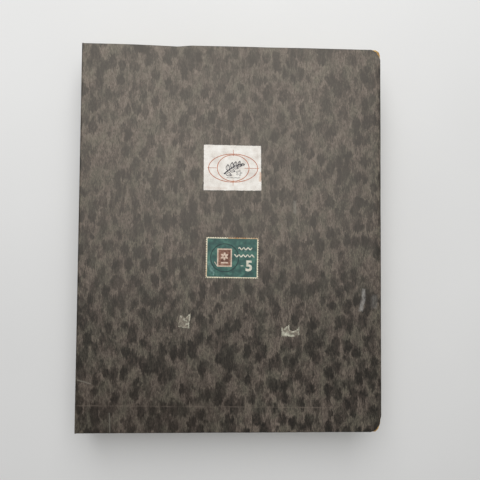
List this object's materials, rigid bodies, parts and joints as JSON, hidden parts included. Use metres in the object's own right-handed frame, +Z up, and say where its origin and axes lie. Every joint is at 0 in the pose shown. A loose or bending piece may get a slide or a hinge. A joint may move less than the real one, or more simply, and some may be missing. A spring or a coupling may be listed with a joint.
{
  "type": "stamp album",
  "caption": "Hard-cover stamp album in mottled grey-brown paper: hinged covers, concealed screw-post binding, and stiff linen-hinged leaves with pocket strips that turn.",
  "frame": {"origin": "centre of the closed album's footprint, on the surface it lies on", "axes": "+X from the spine to the fore-edge, +Y from the tail to the head, +Z up through the front cover"},
  "size_m": [0.2286, 0.2922, 0.036],
  "materials": {
    "mottled_covering": "matt, mottled grey-brown",
    "strawboard": "raw strawboard",
    "endpaper": "matt cream",
    "black_cloth": "fine bookcloth",
    "guard_board": "matt manila",
    "post_metal": "turned, satin",
    "white_label": "matt white",
    "green_stamp": "printed, matt",
    "torn_paper": "torn fibres",
    "leaf_card": "smooth manila",
    "linen": "plain weave",
    "glassine": "translucent, glazed",
    "stamp_paper": "printed, matt"
  },
  "bodies": {
    "binding_block": {"spine_board": "strawboard", "spine_covering": "mottled_covering", "spine_lining": "endpaper", "front_outer_hinge": "mottled_covering", "back_outer_hinge": "mottled_covering", "front_inner_hinge": "black_cloth", "back_inner_hinge": "black_cloth", "front_flap_board": "strawboard", "front_flap_cloth": "black_cloth", "back_flap_board": "strawboard", "back_flap_cloth": "black_cloth", "leaf_guards": "guard_board", "post_barrels": "post_metal", "post_screws": "post_metal"},
    "front_cover": {"front_board": "strawboard", "front_covering": "mottled_covering", "front_endpaper": "endpaper", "paper_label": "white_label", "cover_stamp": "green_stamp", "torn_remnant_left": "torn_paper", "torn_remnant_right": "torn_paper"},
    "back_cover": {"back_board": "strawboard", "back_covering": "mottled_covering", "back_endpaper": "endpaper"},
    "leaf_1": {"leaf_1_card": "leaf_card", "leaf_1_linen_hinge": "linen", "leaf_1_pocket_strips": "glassine", "leaf_1_stamps": "stamp_paper"},
    "leaf_2": {"leaf_2_card": "leaf_card", "leaf_2_linen_hinge": "linen", "leaf_2_pocket_strips": "glassine", "leaf_2_stamps": "stamp_paper"},
    "leaf_3": {"leaf_3_card": "leaf_card", "leaf_3_linen_hinge": "linen", "leaf_3_pocket_strips": "glassine", "leaf_3_stamps": "stamp_paper"},
    "leaf_4": {"leaf_4_card": "leaf_card", "leaf_4_linen_hinge": "linen", "leaf_4_pocket_strips": "glassine", "leaf_4_stamps": "stamp_paper"},
    "leaf_5": {"leaf_5_card": "leaf_card", "leaf_5_linen_hinge": "linen", "leaf_5_pocket_strips": "glassine", "leaf_5_stamps": "stamp_paper"},
    "leaf_6": {"leaf_6_card": "leaf_card", "leaf_6_linen_hinge": "linen", "leaf_6_pocket_strips": "glassine", "leaf_6_stamps": "stamp_paper"},
    "leaf_7": {"leaf_7_card": "leaf_card", "leaf_7_linen_hinge": "linen", "leaf_7_pocket_strips": "glassine"},
    "leaf_8": {"leaf_8_card": "leaf_card", "leaf_8_linen_hinge": "linen", "leaf_8_pocket_strips": "glassine"},
    "leaf_9": {"leaf_9_card": "leaf_card", "leaf_9_linen_hinge": "linen", "leaf_9_pocket_strips": "glassine"}
  },
  "joints": [
    {"name": "front_cover_hinge", "type": "hinge", "parent": "binding_block", "child": "front_cover", "pos_m": [-0.1131, 0, 0.0347], "axis": [0, -1, 0], "range_deg": [0, 180], "deforming": ["front_outer_hinge", "front_inner_hinge"]},
    {"name": "back_cover_hinge", "type": "hinge", "parent": "binding_block", "child": "back_cover", "pos_m": [-0.1131, 0, 0.0012], "axis": [0, 1, 0], "range_deg": [0, 180], "deforming": ["back_outer_hinge", "back_inner_hinge"]},
    {"name": "leaf_1_turn", "type": "hinge", "parent": "binding_block", "child": "leaf_1", "pos_m": [-0.0822, 0, 0.02755], "axis": [0, -1, 0], "range_deg": [0, 138], "deforming": ["leaf_1_linen_hinge"]},
    {"name": "leaf_2_turn", "type": "hinge", "parent": "binding_block", "child": "leaf_2", "pos_m": [-0.0809, 0, 0.02515], "axis": [0, -1, 0], "range_deg": [0, 105], "deforming": ["leaf_2_linen_hinge"]},
    {"name": "leaf_3_turn", "type": "hinge", "parent": "binding_block", "child": "leaf_3", "pos_m": [-0.0803, 0, 0.02275], "axis": [0, -1, 0], "range_deg": [0, 88], "deforming": ["leaf_3_linen_hinge"]},
    {"name": "leaf_4_turn", "type": "hinge", "parent": "binding_block", "child": "leaf_4", "pos_m": [-0.0803, 0, 0.02035], "axis": [0, -1, 0], "range_deg": [0, 72], "deforming": ["leaf_4_linen_hinge"]},
    {"name": "leaf_5_turn", "type": "hinge", "parent": "binding_block", "child": "leaf_5", "pos_m": [-0.0803, 0, 0.01795], "axis": [0, -1, 0], "range_deg": [0, 54], "deforming": ["leaf_5_linen_hinge"]},
    {"name": "leaf_6_turn", "type": "hinge", "parent": "binding_block", "child": "leaf_6", "pos_m": [-0.0803, 0, 0.01555], "axis": [0, -1, 0], "range_deg": [0, 38], "deforming": ["leaf_6_linen_hinge"]},
    {"name": "leaf_7_turn", "type": "hinge", "parent": "binding_block", "child": "leaf_7", "pos_m": [-0.0803, 0, 0.01315], "axis": [0, -1, 0], "range_deg": [0, 24], "deforming": ["leaf_7_linen_hinge"]},
    {"name": "leaf_8_turn", "type": "hinge", "parent": "binding_block", "child": "leaf_8", "pos_m": [-0.0803, 0, 0.01075], "axis": [0, -1, 0], "range_deg": [0, 12], "deforming": ["leaf_8_linen_hinge"]},
    {"name": "leaf_9_turn", "type": "hinge", "parent": "binding_block", "child": "leaf_9", "pos_m": [-0.0803, 0, 0.00835], "axis": [0, -1, 0], "range_deg": [0, 4], "deforming": ["leaf_9_linen_hinge"]}
  ],
  "couplings": [
    {"joint": "leaf_1_turn", "follows": "front_cover_hinge", "ratio": 0.76667},
    {"joint": "leaf_2_turn", "follows": "front_cover_hinge", "ratio": 0.58333},
    {"joint": "leaf_3_turn", "follows": "front_cover_hinge", "ratio": 0.48889},
    {"joint": "leaf_4_turn", "follows": "front_cover_hinge", "ratio": 0.4},
    {"joint": "leaf_5_turn", "follows": "front_cover_hinge", "ratio": 0.3},
    {"joint": "leaf_6_turn", "follows": "front_cover_hinge", "ratio": 0.21111},
    {"joint": "leaf_7_turn", "follows": "front_cover_hinge", "ratio": 0.13333},
    {"joint": "leaf_8_turn", "follows": "front_cover_hinge", "ratio": 0.066667},
    {"joint": "leaf_9_turn", "follows": "front_cover_hinge", "ratio": 0.022222}
  ]
}
